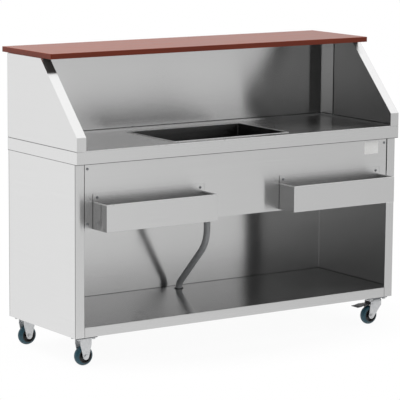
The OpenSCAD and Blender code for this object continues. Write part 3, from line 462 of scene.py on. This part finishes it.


# painted shade: black strips along each side's joints for the shadow lines there
def makeSideShadowStrips(look, name, side):
    shelf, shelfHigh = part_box("base_shelf")
    back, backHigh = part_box("riser_back_panel")
    bracket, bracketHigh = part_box(name + "_fascia_bracket")
    riser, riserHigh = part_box(name + "_riser_panel")
    inside = max(abs(bracket.x), abs(bracketHigh.x))     # inner edge of the cabinet's front flange
    outside = max(abs(riser.x), abs(riserHigh.x)) - look["set"]
    foot = back.z + look["sheet"]

    def across(first, second):
        return side * first, side * second

    makeStrip(name + "_fascia_shadow_strip",
              across(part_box("front_fascia")[1].x + look["gap"], inside - look["gap"]),
              (bracket.y - look["deep"], bracket.y),
              (bracket.z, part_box("worktop_apron")[0].z - look["gap"]))
    makeStrip(name + "_shelf_shadow_strip", across(inside, inside - look["bead"]),
              (shelf.y - look["proud"], shelf.y + look["gap"]),
              (shelf.z + look["gap"], shelfHigh.z - look["gap"]))
    makeStrip(name + "_riser_shadow_strip", across(outside, outside - look["behind"]),
              (riser.y + look["set"], riserHigh.y - look["set"]),
              (riser.z - look["seam"] / 2, riser.z + look["seam"] / 2))
    makeStrip(name + "_foot_shadow_strip", across(backHigh.x, backHigh.x - look["sheet"] - look["foot"]),
              (riser.y + 2 * look["foot"], backHigh.y - look["sheet"]), (foot, foot + look["foot"]))
    makeStrip(name + "_return_shadow_strip", across(backHigh.x, backHigh.x - look["lapProud"]),
              (back.y - look["lap"], back.y), (foot, backHigh.z - look["sheet"]))
    makeStrip(name + "_shelf_shadow_bead", across(shelfHigh.x, shelfHigh.x - look["bead"]),
              (shelf.y + look["behind"], shelfHigh.y), (shelfHigh.z, shelfHigh.z + look["bead"]))


# painted shade: black strips at the shelf's back, the racks' ends and the riser's foot for the shadow lines
# there
def makeShadowStrips(look):
    makeSideShadowStrips(look, "left", -1)
    makeSideShadowStrips(look, "right", 1)
    shelf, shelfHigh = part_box("base_shelf")
    makeStrip("shelf_back_shadow_bead", (shelf.x, shelfHigh.x),
              (shelfHigh.y - look["gap"], shelfHigh.y + look["bead"]),
              (shelfHigh.z, shelfHigh.z + look["deep"]))
    for name in ("left", "right"):
        rack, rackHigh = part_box(name + "_bottle_rack")
        for end, x in (("left", rack.x - look["deep"]), ("right", rackHigh.x)):
            makeStrip(name + "_rack_" + end + "_shadow_strip", (x, x + look["deep"]),
                      (rackHigh.y - look["bead"], rackHigh.y), (rack.z, rackHigh.z))
    back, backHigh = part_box("riser_back_panel")
    inside = backHigh.x - look["sheet"]
    face = backHigh.y - look["sheet"]
    foot = back.z + look["sheet"]
    makeStrip("riser_back_shadow_strip", (-inside, inside), (face - look["foot"], face), (foot, foot + look["foot"]))


makeShadowStrips(shadowStrips)

# safe edges folded flat along the top of each rack's front and ends
rackHem = {"thick": 0.0032, "rise": 0.0024, "below": 0.0030, "inside": 0.0002, "round": 0.0015}


def makeRackHems(look):
    for rack in ("left", "right"):
        low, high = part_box(rack + "_bottle_rack")
        corners = [v.co for v in nodes[rack + "_bottle_rack"].data.vertices]
        rim = max(c.z for c in corners if c.y < low.y + look["thick"])     # the front is lower than the back
        front = low.y + look["inside"]
        left, right = low.x + look["inside"], high.x - look["inside"]
        ends = (front, high.y - look["thick"])
        rows = {"front": ((left, right), (front, front + look["thick"])),
                "left": ((left, left + look["thick"]), ends),
                "right": ((right - look["thick"], right), ends)}
        for name, (x, y) in rows.items():
            makeStrip(rack + "_rack_" + name + "_hem", x, y, (rim - look["below"], rim + look["rise"]),
                      look["round"], "satinEdge")


makeRackHems(rackHem)

# rounded bead on the worktop's front edge, between the riser's flanges
frontBead = {"deep": 0.0042, "rise": 0.0020, "below": 0.0022, "inside": 0.0002, "round": 0.0019}


def makeFrontBead(look):
    low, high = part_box("worktop_rim")
    front = low.y + look["inside"]
    makeStrip("apron_front_bead", (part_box("left_riser_panel")[1].x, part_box("right_riser_panel")[0].x),
              (front, front + look["deep"]), (high.z - look["below"], high.z + look["rise"]),
              look["round"], "satinEdge")


makeFrontBead(frontBead)

# raised hem round the bin's opening, on the worktop above the bin's flange
binHem = {"flange": 0.015, "width": 0.007, "rise": 0.0018, "round": 0.0015, "steps": 4,
          "corner": 0.012, "cornerSteps": 6}


def makeBinHem(look):
    low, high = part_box("ice_bin")
    middle = (low + high) / 2
    half = (high - low) / 2
    less = look["flange"] - look["width"]
    makeRing("bin_hem", look, (middle.x, middle.y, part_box("worktop")[1].z),
             (half.x - less, half.y - less), "satinEdge")


makeBinHem(binHem)
print("trim, seals and hems made")

# white studio: white walls behind and beside the bar, a shaded room where the picture is taken,
# and in it a large diffuser at the right and a dark opening at the left
studio = {
    "seen": 1.0,               # background of the picture
    "level": 0.75,             # even light on matt surfaces
    "white": 1.0,
    "far": 0.70,               # share of white on the wall straight behind
    "farSide": (0.0, 1.0, 0.0),
    "farTurn": (0.88, 0.99),         # where each change starts and ends, as a cosine
    "shade": 0.23,
    "shadeSide": (-0.566, -0.824, 0.0),
    "shadeTurn": (-0.30, 0.35),
    "window": 0.67,
    "windowSide": (0.174, -0.985, 0.0),
    "windowTurn": (0.72, 0.98),
    "opening": 0.02,
    "openingSide": (-0.788, -0.616, 0.0),
    "openingTurn": (0.9833, 0.9890),
    "windowAbove": 0.95,       # share of diffuser and shade that is left above eye height
    "shadeAbove": 0.40,
    "aboveTurn": (0.0, 0.12),
    "ceiling": 0.45,
    "ceilingTurn": (0.40, 0.95),
}


def makeWorld(look):
    scene.world = bpy.data.worlds.new("studio")
    tree = emptyTree(scene.world)
    way = addNode(tree, "TexCoord").outputs["Generated"]
    height = addNode(tree, "SeparateXYZ", links={0: way}).outputs["Z"]
    level = addNode(tree, "VectorMath", {"operation": "MULTIPLY", 1: (1, 1, 0)}, {0: way})
    level = addNode(tree, "VectorMath", {"operation": "NORMALIZE"}, {0: level.outputs[0]})
    turns = {}
    for part in ("far", "shade", "window", "opening"):
        toward = addNode(tree, "VectorMath", {"operation": "DOT_PRODUCT", 1: look[part + "Side"]},
                         {0: level.outputs[0]})
        turns[part] = toward.outputs["Value"]
    window = addRange(tree, turns["window"], 0, look["window"], *look["windowTurn"])
    opening = addRange(tree, turns["opening"], 1.0, look["opening"], *look["openingTurn"])
    upper = addRange(tree, height, 1.0, look["windowAbove"], *look["aboveTurn"])
    shade = addRange(tree, height, look["shade"], look["shade"] * look["shadeAbove"], *look["aboveTurn"])
    room = addMath(tree, "MULTIPLY_ADD", window, upper, shade)
    room = addMath(tree, "MULTIPLY", room, opening)
    front = addRange(tree, turns["shade"], 0, 1, *look["shadeTurn"])
    behind = addRange(tree, turns["far"], look["white"], look["white"] * look["far"], *look["farTurn"])
    wall = addMix(tree, "FLOAT", front, behind, room)
    ceiling = addRange(tree, height, 0, look["ceiling"], *look["ceilingTurn"])
    walls = addMath(tree, "ADD", wall, ceiling)
    rays = addNode(tree, "LightPath").outputs
    mirrored = addMath(tree, "MAXIMUM", rays["Is Glossy Ray"], rays["Is Transmission Ray"])
    light = addMix(tree, "FLOAT", mirrored, look["level"], walls)
    strength = addMix(tree, "FLOAT", rays["Is Camera Ray"], light, look["seen"])
    back = addNode(tree, "Background", {"Color": srgb("#FFFFFF")}, {"Strength": strength})
    addNode(tree, "OutputWorld", links={"Surface": back.outputs[0]})


makeWorld(studio)

# soft panel above and behind the left end, for the matt pieces
softPanel = {"place": (-1.6, 0.6, 3.4), "aim": (0.0, 0.0, 0.6), "size": (2.6, 2.0), "watts": 45.0}


def makePanel(look):
    lamp = bpy.data.lights.new("softPanel", "AREA")
    lamp.shape = "RECTANGLE"
    lamp.size, lamp.size_y = look["size"]
    lamp.energy = look["watts"]
    panel = bpy.data.objects.new("softPanel", lamp)
    scene.collection.objects.link(panel)
    way = Vector(look["aim"]) - Vector(look["place"])
    turn = way.to_track_quat("-Z", "Y").to_matrix().to_4x4()
    panel.matrix_world = Matrix.Translation(look["place"]) @ turn
    panel.visible_glossy = False


makePanel(softPanel)

# pale floor that fades into the white background and keeps a soft shadow
floor = {
    "half": (1.15, 0.62),
    "keep": 0.92,            # share of the background's white under the bar
    "fade": (0.55, 0.98),
    "steps": 96,
}


def makeFloor(look):
    shape = bmesh.new()
    bmesh.ops.create_circle(shape, cap_ends=True, segments=look["steps"], radius=1.0,
                            matrix=Matrix.Diagonal((*look["half"], 1, 1)))
    mesh = bpy.data.meshes.new("floor")
    shape.to_mesh(mesh)
    shape.free()
    ground = bpy.data.objects.new("floor", mesh)
    scene.collection.objects.link(ground)
    material = bpy.data.materials.new("paleFloor")
    tree = emptyTree(material)
    place = addNode(tree, "TexCoord").outputs["Object"]
    unit = [1 / half for half in look["half"]]
    scaled = addNode(tree, "Mapping", {"Scale": (*unit, 1)}, {"Vector": place})
    reach = addNode(tree, "VectorMath", {"operation": "LENGTH"}, {0: scaled.outputs[0]})
    share = addRange(tree, reach.outputs["Value"], look["keep"], 1.0, *look["fade"])
    rays = addNode(tree, "LightPath").outputs
    seen = addMath(tree, "MAXIMUM", rays["Is Camera Ray"], rays["Is Glossy Ray"])
    seen = addMath(tree, "MAXIMUM", seen, rays["Is Transmission Ray"])
    factor = addMath(tree, "MULTIPLY", seen, share)
    matt = addNode(tree, "BsdfDiffuse", {"Color": srgb("#FFFFFF")})
    glow = addNode(tree, "Emission", {"Color": srgb("#FFFFFF"), "Strength": 1.0})
    both = addNode(tree, "MixShader", links={0: factor, 1: matt.outputs[0], 2: glow.outputs[0]})
    addNode(tree, "OutputMaterial", links={"Surface": both.outputs[0]})
    mesh.materials.append(material)


makeFloor(floor)
print("studio and floor set")
